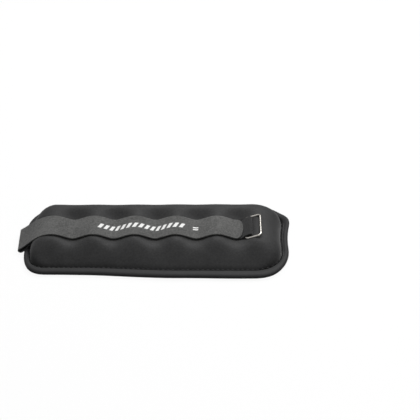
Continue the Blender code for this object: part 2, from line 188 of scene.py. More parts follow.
def recalculate_normals(obj):
    bm = bmesh.new()
    bm.from_mesh(obj.data)
    bmesh.ops.recalc_face_normals(bm, faces=bm.faces)
    bm.to_mesh(obj.data)
    bm.free()
    obj.data.shade_smooth()


def run_lengths(points):
    """The distance run along a line at each of its points."""
    return np.concatenate([[0], np.cumsum(np.linalg.norm(np.diff(points, axis=0), axis=1))])


def resampled(points, lengths, at):
    return np.stack([np.interp(at, lengths, points[:, i]) for i in (0, 1)], 1)


def loop_tangents(points):
    tangent = np.roll(points, -1, 0) - np.roll(points, 1, 0)
    return tangent / np.linalg.norm(tangent, axis=1, keepdims=True)


def keep_normals(obj):
    """Stores the whole surface's normals on its points, so that its pieces can be shaded as one."""
    normals = np.array([v.normal for v in obj.data.vertices])
    attribute = obj.data.attributes.new("whole_normal", "FLOAT_VECTOR", "POINT")
    attribute.data.foreach_set("vector", normals.ravel())


def restore_normals(obj):
    """Shades a piece with the stored normals wherever a face still looks that way."""
    mesh = obj.data
    attribute = mesh.attributes.get("whole_normal")
    stored = np.empty(len(mesh.vertices) * 3)
    attribute.data.foreach_get("vector", stored)
    stored = stored.reshape(-1, 3)
    loops = np.empty((len(mesh.loops), 3))
    for face in mesh.polygons:
        normal = np.array(face.normal)
        for index in face.loop_indices:
            kept = stored[mesh.loops[index].vertex_index]
            facing = float(kept @ normal)
            loops[index] = kept if facing > 0.5 else (-kept if facing < -0.5 else normal)
    mesh.attributes.remove(attribute)
    mesh.normals_split_custom_set(loops.tolist())


def part_between(obj, name, low, high, closed):
    """A copy of the faces whose middles lie between two values of x, its cut ends closed if asked."""
    bm = bmesh.new()
    bm.from_mesh(obj.data)
    gone = [f for f in bm.faces if not low <= f.calc_center_median().x < high]
    bmesh.ops.delete(bm, geom=gone, context="FACES")
    if closed:
        bmesh.ops.holes_fill(bm, edges=[e for e in bm.edges if e.is_boundary])
    mesh = bpy.data.meshes.new(name)
    bm.to_mesh(mesh)
    bm.free()
    for material in obj.data.materials:
        mesh.materials.append(material)
    return link(bpy.data.objects.new(name, mesh))


def cut_at(obj, planes_x):
    bm = bmesh.new()
    bm.from_mesh(obj.data)
    for x in planes_x:
        geometry = bm.verts[:] + bm.edges[:] + bm.faces[:]
        bmesh.ops.bisect_plane(bm, geom=geometry, dist=1e-6, plane_co=(x, 0, 0), plane_no=(1, 0, 0))
    bm.to_mesh(obj.data)
    bm.free()


def divide_over_valleys(obj, prefix, replaced, skin=0.0):
    """Divides a whole-length surface at the crests into one piece over each valley."""
    cut_at(obj, CRESTS[1:-1])
    keep_normals(obj)
    edges = [-1.0] + CRESTS[1:-1] + [1.0]
    pieces = []
    for k in range(1, CHAMBERS):
        piece = part_between(obj, f"{prefix}_{k}", edges[k - 1], edges[k], closed=not skin)
        if skin:
            solidify(piece, skin)
        restore_normals(piece)
        bend_over_valley(piece)
        pieces.append(piece)
    for node in replaced:
        number = node.split("_")[-1]
        k = min(int(number), CHAMBERS - 1) if number.isdigit() else (1 if "left" in node else CHAMBERS - 1)
        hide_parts(node)
    bpy.data.objects.remove(obj)
    return pieces


def bend_over_valley(piece):
    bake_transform(piece)


# ---------------------------------------------------------------- materials
class Nodes:
    """Short names for building a material's nodes."""

    def __init__(self, name, color, roughness, metallic=0.0):
        self.material = bpy.data.materials.new(name)
        self.material.use_nodes = True
        self.tree = self.material.node_tree
        self.shader = self.tree.nodes["Principled BSDF"]
        self.shader.inputs["Base Color"].default_value = (*color, 1)
        self.shader.inputs["Roughness"].default_value = roughness
        self.shader.inputs["Metallic"].default_value = metallic
        self.place = self.tree.nodes.new("ShaderNodeTexCoord").outputs["Object"]

    def node(self, kind, **values):
        made = self.tree.nodes.new(kind)
        for key, value in values.items():
            setattr(made, key, value)
        return made

    def join(self, source, target):
        self.tree.links.new(source, target)

    def math(self, operation, a, b=None, c=None, clamp=False):
        made = self.node("ShaderNodeMath", operation=operation, use_clamp=clamp)
        for socket, value in zip(made.inputs, (a, b, c)):
            if value is None:
                continue
            if isinstance(value, (int, float)):
                socket.default_value = value
            else:
                self.join(value, socket)
        return made.outputs[0]

    def noise(self, scale, detail=2.0, roughness=0.5, vector=None):
        made = self.node("ShaderNodeTexNoise")
        made.inputs["Scale"].default_value = scale
        made.inputs["Detail"].default_value = detail
        made.inputs["Roughness"].default_value = roughness
        self.join(vector or self.place, made.inputs["Vector"])
        return made.outputs["Fac"]

    def ramp(self, factor, stops):
        made = self.node("ShaderNodeValToRGB")
        elements = made.color_ramp.elements
        for element, (position, color) in zip(elements, (stops[0], stops[-1])):
            element.position = position
            element.color = (*color, 1)
        for position, color in stops[1:-1]:
            element = elements.new(position)
            element.color = (*color, 1)
        self.join(factor, made.inputs["Fac"])
        return made.outputs["Color"]

    def bump(self, height, distance, strength=1.0, before=None):
        made = self.node("ShaderNodeBump")
        made.inputs["Strength"].default_value = strength
        made.inputs["Distance"].default_value = distance
        self.join(height, made.inputs["Height"])
        if before is not None:
            self.join(before, made.inputs["Normal"])
        return made.outputs["Normal"]


def neoprene_material(name, dark, light, sheen):
    """Jersey-faced neoprene: a fine knit, soft mottling and the short nap's sheen."""
    m = Nodes(name, dark, 0.62)
    grain = m.noise(430, 4, 0.75)
    mottle = m.math("MULTIPLY_ADD", grain, 0.7, m.math("MULTIPLY", m.noise(55, 4, 0.55), 0.3))
    m.join(m.ramp(mottle, ((0.36, dark), (0.64, light))), m.shader.inputs["Base Color"])
    fine = m.noise(900, 3, 0.6)
    m.join(m.math("MULTIPLY_ADD", fine, 0.16, 0.54), m.shader.inputs["Roughness"])
    knit = m.node("ShaderNodeTexVoronoi", feature="F1")
    knit.inputs["Scale"].default_value = 1500
    m.join(m.place, knit.inputs["Vector"])
    normal = m.bump(knit.outputs["Distance"], 0.00012, 0.35)
    normal = m.bump(m.noise(140, 4, 0.6), 0.0006, 0.22, normal)
    m.join(normal, m.shader.inputs["Normal"])
    m.shader.inputs["Sheen Weight"].default_value = sheen
    m.shader.inputs["Sheen Roughness"].default_value = 0.45
    m.shader.inputs["Specular IOR Level"].default_value = 0.32
    return m.material


def webbing_material(name, dark, light, rib_pitch, roughness, sheen=0.15, marks=False):
    """Woven tape with a heathered yarn. Its map holds metres along the tape in u, across it in v."""
    m = Nodes(name, dark, roughness)
    tape = m.node("ShaderNodeUVMap", uv_map="tape").outputs["UV"]
    split = m.node("ShaderNodeSeparateXYZ")
    m.join(tape, split.inputs[0])
    along, across = split.outputs["X"], split.outputs["Y"]
    turns = 2 * math.pi / rib_pitch
    weft = m.math("SINE", m.math("MULTIPLY", along, turns))
    warp = m.math("SINE", m.math("MULTIPLY", across, turns * 0.62))
    twill = m.math("SINE", m.math("MULTIPLY", m.math("ADD", along, across), turns * 0.5))
    weave = m.math("ADD", m.math("MULTIPLY", weft, warp), m.math("MULTIPLY", twill, 0.6))
    yarn = m.noise(430, 4, 0.8)
    patch = m.noise(38, 3, 0.5)
    blend = m.math("ADD", m.math("MULTIPLY", yarn, 0.80), m.math("MULTIPLY", patch, 0.20))
    blend = m.math("ADD", blend, m.math("MULTIPLY", weave, 0.05))
    color = m.ramp(blend, ((0.38, dark), (0.62, light)))
    if marks:
        color = printed_marks(m, color, along, across)
    m.join(color, m.shader.inputs["Base Color"])
    normal = m.bump(weave, 0.00016, 0.55)
    normal = m.bump(m.noise(1400, 2, 0.7), 0.0002, 0.30, normal)
    m.join(normal, m.shader.inputs["Normal"])
    m.shader.inputs["Sheen Weight"].default_value = sheen
    m.shader.inputs["Sheen Roughness"].default_value = 0.5
    m.shader.inputs["Specular IOR Level"].default_value = 0.25
    return m.material


def between(m, value, low, high, edge=0.0001):
    """1 where value lies between low and high, with a soft edge."""
    rise = m.math("DIVIDE", m.math("SUBTRACT", value, low), edge, clamp=True)
    fall = m.math("DIVIDE", m.math("SUBTRACT", high, value), edge, clamp=True)
    return m.math("MULTIPLY", rise, fall)


def printed_marks(m, color, along, across):
    """Plain white slanted bars and, past them, two short bars: a generic screen print."""
    slanted = m.math("SUBTRACT", along, m.math("MULTIPLY", across, MARK_SLANT))
    phase = m.math("FRACT", m.math("DIVIDE", m.math("SUBTRACT", slanted, MARK_START), MARK_PITCH))
    bar = between(m, phase, 0.0, MARK_SHARE, 0.02)
    inside = between(m, slanted, MARK_START, MARK_END)
    tall = between(m, across, -MARK_HALF, MARK_HALF)
    row = m.math("MULTIPLY", m.math("MULTIPLY", bar, inside), tall)
    pair = m.math("MULTIPLY", between(m, along, PAIR_START, PAIR_END), between(m, across, -0.0030, 0.0030))
    gap = between(m, across, -0.0009, 0.0009)
    pair = m.math("MULTIPLY", pair, m.math("SUBTRACT", 1.0, gap))
    worn = m.math("MULTIPLY_ADD", m.noise(1100, 2, 0.6), -0.5, 1.18, clamp=True)
    share = m.math("MULTIPLY", m.math("MAXIMUM", row, pair), worn)
    mix = m.node("ShaderNodeMix", data_type="RGBA")
    m.join(share, mix.inputs["Factor"])
    m.join(color, mix.inputs[6])
    mix.inputs[7].default_value = (0.86, 0.86, 0.85, 1)
    return mix.outputs[2]


def hook_material():
    """Moulded hook tape: rows of tiny bumps on a dark plastic base."""
    m = Nodes("hook_tape", (0.010, 0.010, 0.010), 0.5)
    dots = m.node("ShaderNodeTexVoronoi", feature="F1")
    dots.inputs["Scale"].default_value = 900
    m.join(m.place, dots.inputs["Vector"])
    color = m.ramp(dots.outputs["Distance"], ((0.1, (0.022, 0.022, 0.022)), (0.7, (0.006, 0.006, 0.006))))
    m.join(color, m.shader.inputs["Base Color"])
    m.join(m.bump(dots.outputs["Distance"], 0.0004, 0.9), m.shader.inputs["Normal"])
    return m.material


def thread_material(name, color):
    m = Nodes(name, color, 0.55)
    twist = m.node("ShaderNodeTexWave", bands_direction="DIAGONAL")
    twist.inputs["Scale"].default_value = 900
    m.join(m.place, twist.inputs["Vector"])
    m.join(m.bump(twist.outputs["Fac"], 0.0001, 0.6), m.shader.inputs["Normal"])
    return m.material


def nickel_material():
    """Nickel-plated wire: bright, faintly drawn along its length and a little uneven."""
    m = Nodes("nickel", (0.78, 0.75, 0.70), 0.2, 1.0)
    patches = m.noise(160, 4, 0.6)
    color = m.ramp(patches, ((0.3, (0.66, 0.63, 0.58)), (0.7, (0.86, 0.83, 0.78))))
    m.join(color, m.shader.inputs["Base Color"])
    rough = m.math("MULTIPLY_ADD", m.noise(420, 3, 0.6), 0.20, 0.12)
    m.join(rough, m.shader.inputs["Roughness"])
    m.join(m.bump(m.noise(600, 3, 0.6), 0.0001, 0.2), m.shader.inputs["Normal"])
    return m.material


def cloth_bag_material():
    m = Nodes("bag_cloth", (0.18, 0.17, 0.15), 0.85)
    weave = m.node("ShaderNodeTexChecker")
    weave.inputs["Scale"].default_value = 1600
    m.join(m.place, weave.inputs["Vector"])
    color = m.ramp(m.noise(80, 3), ((0.3, (0.14, 0.13, 0.12)), (0.7, (0.22, 0.21, 0.19))))
    m.join(color, m.shader.inputs["Base Color"])
    m.join(m.bump(weave.outputs["Fac"], 0.0001, 0.5), m.shader.inputs["Normal"])
    return m.material


# ---------------------------------------------------------------- pouch
def smooth(low, high, value):
    t = np.clip((value - low) / (high - low), 0, 1)
    return t * t * (3 - 2 * t)


# How the slack cuff differs from a true one, in metres from its middle.
TRUE_HALF = 0.018                                           # the strip under the strap stays true
FRONT_WIDENS, BACK_WIDENS = (-0.095, 0.030), (-0.10, 0.12)      # between these x each edge moves out
FRONT_BOW, FRONT_OUT, BACK_BOW = 0.0034, 0.0018, 0.0012
END_FROM, END_OVER = 0.140, 0.035                           # where the right end begins to move
END_OUT, END_DENT, END_BULGE = 0.0022, 0.0012, 0.0026
CURL_X, CURL_Y, CURL_RISE = 0.178, 0.038, 0.0056            # its back corner curls up
CURL_FROM, CURL_OVER = 0.168, 0.012
RIPPLE_HIGH, RIPPLE_OUT, HEM_OUT = 0.0007, 0.0004, 0.0018


def hump(value, middle, width):
    return np.exp(-(((value - middle) / width) ** 2))


def relaxed(points):
    """The sewn cuff isn't quite true: it widens towards the ring, and its right end dips and curls."""
    out = np.array(points, float)
    x, y = out[:, 0] - MIDDLE, out[:, 1]
    share = np.clip((np.abs(y) - TRUE_HALF) / (HALF_WIDTH - TRUE_HALF), 0, 1.3)
    wide = smooth(*FRONT_WIDENS, x)
    front = (y < 0) * (wide * FRONT_BOW + FRONT_OUT)
    back = (y > 0) * smooth(*BACK_WIDENS, x) * BACK_BOW
    out[:, 1] += np.sign(y) * share * (front + back)
    right = np.clip((x - END_FROM) / END_OVER, 0, 1.2)
    out[:, 0] += right * (END_OUT - hump(y, -0.002, 0.020) * END_DENT)
    out[:, 0] += right * hump(y, 0.036, 0.016) * END_BULGE
    curl = np.exp(-(((x - CURL_X) / 0.020) ** 2) - ((y - CURL_Y) / 0.026) ** 2)
    out[:, 2] += curl * np.clip((x - CURL_FROM) / CURL_OVER, 0, 1) * CURL_RISE
    ripple = np.sin(x * 61 + 0.6) * 0.6 + np.sin(x * 97 - 1.1) * 0.4
    outer = np.clip((np.abs(y) - HALF_WIDTH) / 0.012, 0, 1)
    out[:, 2] += outer * (0.5 + 0.5 * ripple) * RIPPLE_HIGH
    out[:, 1] += np.sign(y) * outer * (ripple * RIPPLE_OUT + (y < 0) * wide * HEM_OUT)
    return out


def valley_share(x):
    wave = 0.5 + 0.5 * np.cos(2 * math.pi * x / PITCH)
    return np.where(np.abs(x) > PITCH * (CHAMBERS / 2 - 0.5), 0.0, wave)


def roof(x, y):
    past_ring = smooth(*PAST_RING, x)
    channel = (1 - smooth(CHANNEL_HALF, CHANNEL_HALF + CHANNEL_FADE, np.abs(y))) * (1 - 0.7 * past_ring)
    under_strap = CREST_TOP + (VALLEY_TOP - CREST_TOP) * valley_share(x)
    beside = under_strap + LIP_RISE * smooth(0.0155, 0.0205, np.abs(y)) * (1 - past_ring)
    bulge = FRONT_TOP + (BACK_TOP - FRONT_TOP) * smooth(-0.030, 0.030, y) - 0.0008 * valley_share(x)
    return bulge + (beside - bulge) * channel


def rim_lines(low_half, low_rim, high_half, high_rim, inner_step, rim_count):
    """Lines across the pouch, closer together towards its edges."""
    count = max(2, round((low_half - low_rim + high_half - high_rim) / inner_step))
    inner = np.linspace(-(low_half - low_rim), high_half - high_rim, count + 1)
    share = np.sin(np.pi / 2 * np.arange(1, rim_count + 1) / rim_count)
    low = -(low_half - low_rim + low_rim * share)
    high = high_half - high_rim + high_rim * share
    return np.concatenate([low[::-1], inner, high])


def corner_power(x, y):
    power = np.zeros_like(x)
    for (sign_x, sign_y), value in CORNERS.items():
        power[((x > 0) == (sign_x > 0)) & ((y > 0) == (sign_y > 0))] = value
    return power


def sagging(reach):
    """The front slope's height: it steepens over FRONT_EASE and then falls evenly."""
    eased = np.where(reach < FRONT_EASE, reach ** 2 / (2 * FRONT_EASE), reach - FRONT_EASE / 2)
    turned = np.sqrt(np.clip(1 - ((reach - 1 + GROOVE_STEEP) / GROOVE_STEEP).clip(0) ** 2, 0, 1))
    return (1 - FRONT_FALL * eased / (1 - FRONT_EASE / 2)) * turned


def rounded(a, b):
    """Takes a rectangle's points to the pouch's outline, and gives how far up its rim each one is."""
    rim_x = np.where(a > 0, RIGHT_RIM, LEFT_RIM)
    rim_y = np.where(b > 0, BACK_RIM, FRONT_RIM)
    power = corner_power(a, b)
    ux = np.clip((np.abs(a) - (HALF_LENGTH - rim_x)) / rim_x, 0, 1)
    uy = np.clip((np.abs(b) - (HALF_WIDTH - rim_y)) / rim_y, 0, 1)
    both = (ux > 0) & (uy > 0)
    reach = np.maximum(ux, uy)
    size = np.where(both, (ux ** power + uy ** power) ** (1 / power), 1)
    shrink = np.where(both, reach / np.where(size > 0, size, 1), 1)
    ux, uy = ux * shrink, uy * shrink
    x = np.where(both, np.sign(a) * (HALF_LENGTH - rim_x + ux * rim_x), a)
    y = np.where(both, np.sign(b) * (HALF_WIDTH - rim_y + uy * rim_y), b)
    share_y = uy ** 2 / np.maximum(ux ** 2 + uy ** 2, 1e-9)
    power = END_ROUND + (BACK_ROUND - END_ROUND) * share_y
    rise = np.clip(1 - reach ** power, 0, 1) ** (1 / power)
    rise = np.where(b < 0, rise + (sagging(reach) - rise) * share_y, rise)
    return x, y, rise


def inflate(obj, held):
    """Blows the free cloth up between its rim and the strap, then keeps at most COVER_SWELL of it."""
    start = coordinates(obj)
    group = obj.vertex_groups.new(name="held")
    group.add([int(i) for i in np.flatnonzero(held)], 1.0, "REPLACE")
    cloth = obj.modifiers.new("Cloth", "CLOTH")
    settings = cloth.settings
    settings.quality = 6
    settings.mass = 0.3
    settings.tension_stiffness = 25
    settings.compression_stiffness = 25
    settings.shear_stiffness = 12
    settings.bending_stiffness = 6
    settings.vertex_group_mass = "held"
    settings.use_pressure = True
    settings.uniform_pressure_force = COVER_PRESSURE
    settings.effector_weights.gravity = 0
    cloth.point_cache.frame_start = 1
    cloth.point_cache.frame_end = SIM_FRAMES
    scene = bpy.context.scene
    for number in range(1, SIM_FRAMES + 1):
        scene.frame_set(number)
    apply_modifiers(obj)
    scene.frame_set(1)
    moved = coordinates(obj) - start
    length = np.linalg.norm(moved, axis=1, keepdims=True)
    limit = COVER_SWELL * np.tanh(length / COVER_SWELL) / np.maximum(length, 1e-9)
    move_to(obj, start + moved * limit)
    obj.vertex_groups.clear()


def top_cover(material):
    xs = rim_lines(HALF_LENGTH, LEFT_RIM, HALF_LENGTH, RIGHT_RIM, 0.0023, 15)
    ys = rim_lines(HALF_WIDTH, FRONT_RIM, HALF_WIDTH, BACK_RIM, 0.0022, 15)
    a, b = np.meshgrid(xs, ys, indexing="ij")
    x, y, rise = rounded(a.ravel(), b.ravel())
    z = GROOVE_HEIGHT + (roof(x, y) - GROOVE_HEIGHT) * rise
    points = relaxed(np.stack([x + MIDDLE, y, z], 1))
    obj = mesh_from("top_cover_whole", points, sheet_faces(len(xs), len(ys)), material)
    on_rim = (np.abs(a.ravel()) >= xs[-2]) | (np.abs(b.ravel()) >= ys[-2])
    under_strap = np.abs(y) <= STRAP_HOLD
    inflate(obj, on_rim | under_strap)
    subdivide(obj, 1)
    nodes = [f"top_cover_{k}" for k in range(1, CHAMBERS + 1)]
    return divide_over_valleys(obj, "top_cover_valley", nodes, COVER_SKIN)


def back_cover(material):
    xs = rim_lines(HALF_LENGTH, LEFT_RIM, HALF_LENGTH, RIGHT_RIM, 0.006, 9)
    ys = rim_lines(HALF_WIDTH, FRONT_RIM, HALF_WIDTH, BACK_RIM, 0.006, 9)
    a, b = np.meshgrid(xs, ys, indexing="ij")
    x, y, rise = rounded(a.ravel(), b.ravel())
    z = BACK_HEIGHT - BACK_DIP * rise
    points = relaxed(np.stack([x + MIDDLE, y, z], 1))
    obj = mesh_from("back_cover_whole", points, sheet_faces(len(xs), len(ys)), material)
    subdivide(obj, 1)
    nodes = [f"back_cover_{k}" for k in range(1, CHAMBERS + 1)]
    return divide_over_valleys(obj, "back_cover_valley", nodes, BACK_SKIN)


# ---------------------------------------------------------------- bound edge
def outline_points(step):
    """Even steps round the pouch's outline, counter-clockwise from the right end's middle."""
    loop = []
    for (sign_x, sign_y), turn in (((1, 1), 1), ((-1, 1), -1), ((-1, -1), 1), ((1, -1), -1)):
        power = CORNERS[(sign_x, sign_y)]
        rim_x = RIGHT_RIM if sign_x > 0 else LEFT_RIM
        rim_y = BACK_RIM if sign_y > 0 else FRONT_RIM
        for angle in np.linspace(0, math.pi / 2, 40)[::turn]:
            across, along = math.cos(angle) ** (2 / power), math.sin(angle) ** (2 / power)
            x = sign_x * (HALF_LENGTH - rim_x + rim_x * across)
            loop.append((x, sign_y * (HALF_WIDTH - rim_y + rim_y * along)))
    loop = np.array(loop)
    closed = np.concatenate([loop, loop[:1]])
    lengths = run_lengths(closed)
    count = round(lengths[-1] / step)
    at = np.linspace(0, lengths[-1], count, endpoint=False)
    points = resampled(closed, lengths, at)
    tangent = loop_tangents(points)
    return points, np.stack([tangent[:, 1], -tangent[:, 0]], 1), tangent


# The bound edge's section: how far outside the pouch's outline, and how high, in millimetres.
EDGE_SECTION = (
    (-2.2, 0.25), (2.0, 0.0), (6.5, 0.0), (10.2, 0.2), (11.7, 0.9), (11.9, 1.6), (11.2, 2.1), (12.0, 2.5),
    (12.5, 3.4), (12.4, 4.6), (11.4, 6.0), (9.6, 6.9), (7.2, 7.2), (5.0, 7.0), (3.5, 6.4), (2.7, 5.4),
    (2.3, 4.0), (2.0, 2.4), (1.4, 1.2), (-2.2, 0.8),
)


def edge_binding(material):
    points, outward, _ = outline_points(0.0024)
    section = np.array(EDGE_SECTION) / 1000
    rows = []
    for (x, y), normal in zip(points, outward):
        widen = (0.98 - 0.30 * abs(normal[0]) ** 2) * (1 + 0.04 * math.sin(x * 37 + y * 51))
        spread = 0.0014 * max(normal[0], 0) ** 2
        out = [(o * widen + spread, h) for o, h in section]
        rows.extend((x + normal[0] * o + MIDDLE, y + normal[1] * o, h) for o, h in out)
    obj = mesh_from("edge_binding_whole", relaxed(rows),
                    sheet_faces(len(points), len(section), True, True), material)
    subdivide(obj, 1)
    nodes = ["edge_binding_left_end", "edge_binding_right_end"]
    nodes += [f"edge_binding_{side}_{k}" for side in ("front", "back") for k in range(2, CHAMBERS)]
    return divide_over_valleys(obj, "edge_binding_valley", nodes)


# ---------------------------------------------------------------- stitches
CAPSULE = ((-1.0, 0.25), (-0.86, 0.8), (0.0, 1.0), (0.86, 0.8), (1.0, 0.25))


def stitches(name, places, length, radius, material, sides=6):
    """Short thread capsules. places holds each stitch's middle, its direction and the way it faces."""
    points, faces = [], []
    for middle, along, up in places:
        middle, along, up = Vector(middle), Vector(along).normalized(), Vector(up).normalized()
        across = along.cross(up).normalized()
        first = len(points)
        for t, share in CAPSULE:
            centre = middle + along * (t * length / 2) - up * (radius * 1.1 * t * t)
            for k in range(sides):
                angle = 2 * math.pi * k / sides
                points.append(centre + (across * math.cos(angle) + up * math.sin(angle)) * radius * share)
        rings = len(CAPSULE)
        for i in range(rings - 1):
            for k in range(sides):
                k2 = (k + 1) % sides
                a, b = first + i * sides, first + (i + 1) * sides
                faces.append((a + k, a + k2, b + k2, b + k))
        faces.append([first + k for k in range(sides)][::-1])
        faces.append([first + (rings - 1) * sides + k for k in range(sides)])
    obj = mesh_from(name, points, faces, material)
    recalculate_normals(obj)
    return obj


def edge_stitches(material):
    """The lockstitch that closes the pouch, down in the groove beside the bound edge."""
    points, outward, tangent = outline_points(0.0066)
    places = [[] for _ in range(CHAMBERS - 1)]
    for (x, y), normal, along in zip(points, outward, tangent):
        spot = relaxed([(x + MIDDLE + normal[0] * 0.0006, y + normal[1] * 0.0006, 0.0046)])[0]
        k = int(np.clip(np.searchsorted(CRESTS[1:-1], spot[0]), 0, CHAMBERS - 2))
        places[k].append((spot, (along[0], along[1], 0), (-normal[0] * 0.55, -normal[1] * 0.55, 1)))
    for k, some in enumerate(places, 1):
        piece = stitches(f"edge_stitching_{k}", some, 0.0044, 0.00045, material)
        bend_over_valley(piece)


# ---------------------------------------------------------------- straps
def rounded_corners(corners):
    """A path through corners with each one rounded, widely over a crest and tightly in a valley."""
    points = [corners[0]]
    for before, here, after in zip(corners, corners[1:], corners[2:]):
        into, out = here - before, after - here
        reach = CREST_FILLET if into.z > 0 > out.z else VALLEY_FILLET
        near = min(reach, 0.46 * into.length, 0.62 * out.length)
        start, end = here - into.normalized() * near, here + out.normalized() * near
        for t in np.linspace(0, 1, 14):
            points.append(start * (1 - t) ** 2 + here * 2 * t * (1 - t) + end * t * t)
    points.append(corners[-1])
    return points


def even_path(points, step):
    path = np.array([(p.x, p.z) for p in points])
    keep = np.concatenate([[True], np.linalg.norm(np.diff(path, axis=0), axis=1) > 1e-7])
    path = path[keep]
    length = run_lengths(path)
    at = np.linspace(0, length[-1], round(length[-1] / step) + 1)
    even = resampled(path, length, at)
    for _ in range(3):
        even[1:-1] = (even[:-2] + 2 * even[1:-1] + even[2:]) / 4
    return even, at


def first_slope():
    reach = STRAP_NODES[0] - FOLD
    return math.atan2(reach.z, reach.x) - math.asin(FOLD_RADIUS / reach.length)


def first_run():
    """The directions along the strap's first run from the fold, and square to it."""
    slope = first_slope()
    along = Vector((math.cos(slope), 0, math.sin(slope)))
    return along, Vector((-along.z, 0, along.x))


def strap_corners():
    last = STRAP_NODES[-1]
    run = STRAP_TIP_X - last.x + 0.0012
    tip = last + Vector((run, 0, run * math.tan(TIP_SLOPE)))
    return STRAP_NODES + [tip]


def closing_strap_path():
    along, normal = first_run()
    lower = FOLD - normal * FOLD_RADIUS
    points = [lower + along * t for t in np.linspace(0.0090, 0, 8)]
    for t in np.linspace(0, math.pi, 26)[1:]:
        points.append(FOLD - normal * FOLD_RADIUS * math.cos(t) - along * FOLD_RADIUS * math.sin(t))
    upper = FOLD + normal * FOLD_RADIUS
    return points + rounded_corners([upper] + strap_corners())[1:]


LEAN_FROM, LEAN_TO = -0.182, -0.150         # x from the cuff's middle, over which the fold's lean fades
LEAN_DROP, LEAN_TILT, LEAN_FORWARD = 0.0010, 0.0014, 0.0040


def leaning(points):
    """The fold at the left end sits a little askew: its near edge lies lower and further forward."""
    out = np.array(points)
    share = 1 - smooth(LEAN_FROM, LEAN_TO, out[:, 0] - MIDDLE)
    out[:, 2] -= share * (LEAN_DROP - LEAN_TILT * out[:, 1] / (STRAP_WIDTH / 2))
    out[:, 1] -= share * LEAN_FORWARD
    return out


def tape(name, path, at, half_width, low, high, material, top_columns, shape=None, crease=None, origin=0.0):
    """A closed tape along a path in X and Z. low and high are its faces' heights above the path's line."""
    tangent = np.gradient(path, axis=0)
    tangent /= np.linalg.norm(tangent, axis=1, keepdims=True)
    normal = np.stack([-tangent[:, 1], tangent[:, 0]], 1)
    middle, depth = (low + high) / 2, (high - low) / 2
    top = [(t, 1.0) for t in np.linspace(-0.985, 0.985, top_columns)]
    bottom = [(t, -1.0) for t in np.linspace(0.985, -0.985, max(5, top_columns // 2))]
    loop = top + [(0.997, 0.55), (1.0, 0.0), (0.997, -0.55)]
    loop += bottom + [(-0.997, -0.55), (-1.0, 0.0), (-0.997, 0.55)]
    points, uv = [], []
    for i, s in enumerate(at):
        half = half_width if shape is None else half_width * shape(at[-1] - s)
        for across, level in loop:
            y = across * half
            rise = middle + depth * level
            if level == 1.0:
                rise += 0.00010 * math.exp(-(((abs(y) - half_width + 0.0012) / 0.0007) ** 2))
                if crease is not None:
                    rise -= crease(s)
            points.append((path[i, 0] + normal[i, 0] * rise, y, path[i, 1] + normal[i, 1] * rise))
            uv.append((s - origin, y))
    columns = len(loop)
    faces = sheet_faces(len(at), columns, False, True)
    faces += [list(range(columns)), list(range((len(at) - 1) * columns, len(at) * columns))[::-1]]
    obj = mesh_from(name, points, faces, material)
    layer = obj.data.uv_layers.new(name="tape")
    for corner in obj.data.loops:
        layer.data[corner.index].uv = uv[corner.vertex_index]
    recalculate_normals(obj)
    obj.data.set_sharp_from_angle(angle=math.radians(48))
    return obj


def tongue(distance):
    """The share of the strap's width this far from its rounded tip."""
    t = min(max(distance / 0.0105, 0.0), 1.0)
    return max(0.12, (1 - (1 - t) ** 2.3) ** (1 / 2.3))


def nearest_at(path, at, point):
    return at[int(np.argmin(np.hypot(path[:, 0] - point.x, path[:, 1] - point.z)))]


def closing_strap(cloth, hook):
    path, at = even_path(closing_strap_path(), 0.0009)
    normal = first_run()[1]
    bends = [FOLD + normal * FOLD_RADIUS] + strap_corners()
    middles = [nearest_at(path, at, (a + b) / 2) for a, b in zip(bends[:-2], bends[1:-1])]
    edges = [at[0]] + middles + [at[-1]]
    valleys_at = [nearest_at(path, at, STRAP_NODES[i]) for i in (2, 4, 6, 8)]

    def crease(s):
        return sum(0.00034 * math.exp(-(((s - v) / 0.0006) ** 2)) for v in valleys_at)

    half = (STRAP_CLOTH + HOOK_DEPTH) / 2
    origin = nearest_at(path, at, STRAP_NODES[6])
    for i in range(len(edges) - 1):
        inside = (at >= edges[i] - 1e-9) & (at <= edges[i + 1] + 1e-9)
        part, s = path[inside], at[inside]
        last = i == len(edges) - 2
        shape = tongue if last else None
        top = tape(f"closing_strap_bend_{i}", part, s, STRAP_WIDTH / 2, half - STRAP_CLOTH, half,
                   cloth, 21, shape, crease, origin)
        under = tape(f"hook_tape_bend_{i}", part, s, STRAP_WIDTH / 2 - 0.0004, -half,
                     half - STRAP_CLOTH - 0.0001, hook, 9, shape)
        for piece, slot in ((top, "strap_grey"), (under, "hook_black")):
            if i == 0:
                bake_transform(piece)
            else:
                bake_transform(piece)
            move_to(piece, leaning(coordinates(piece)))
        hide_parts(f"closing_strap_{i + 1}")
        if f"hook_tape_{i + 1}" in frame["nodes"]:
            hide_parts(f"hook_tape_{i + 1}")


def lowered(before, here, after, drop):
    along = ((here - before).normalized() + (after - here).normalized()).normalized()
    return here - Vector((-along.z, 0, along.x)) * drop


def base_strap(material):
    along, normal = first_run()
    tail = FOLD - normal * FOLD_RADIUS + along * 0.0092
    corners = [tail]
    chain = [FOLD] + STRAP_NODES + [STRAP_NODES[-1] + Vector((0.01, 0, 0.004))]
    for before, here, after in zip(chain, chain[1:-1], chain[2:]):
        corners.append(lowered(before, here, after, BASE_DROP))
    path, at = even_path(rounded_corners(corners), 0.0012)
    obj = tape("base_strap_whole", path, at, STRAP_WIDTH / 2 - 0.0008,
               -BASE_CLOTH / 2, BASE_CLOTH / 2, material, 17)
    move_to(obj, leaning(coordinates(obj)))
    nodes = [f"base_strap_{k}" for k in range(1, CHAMBERS)]
    return divide_over_valleys(obj, "base_strap_valley", nodes)


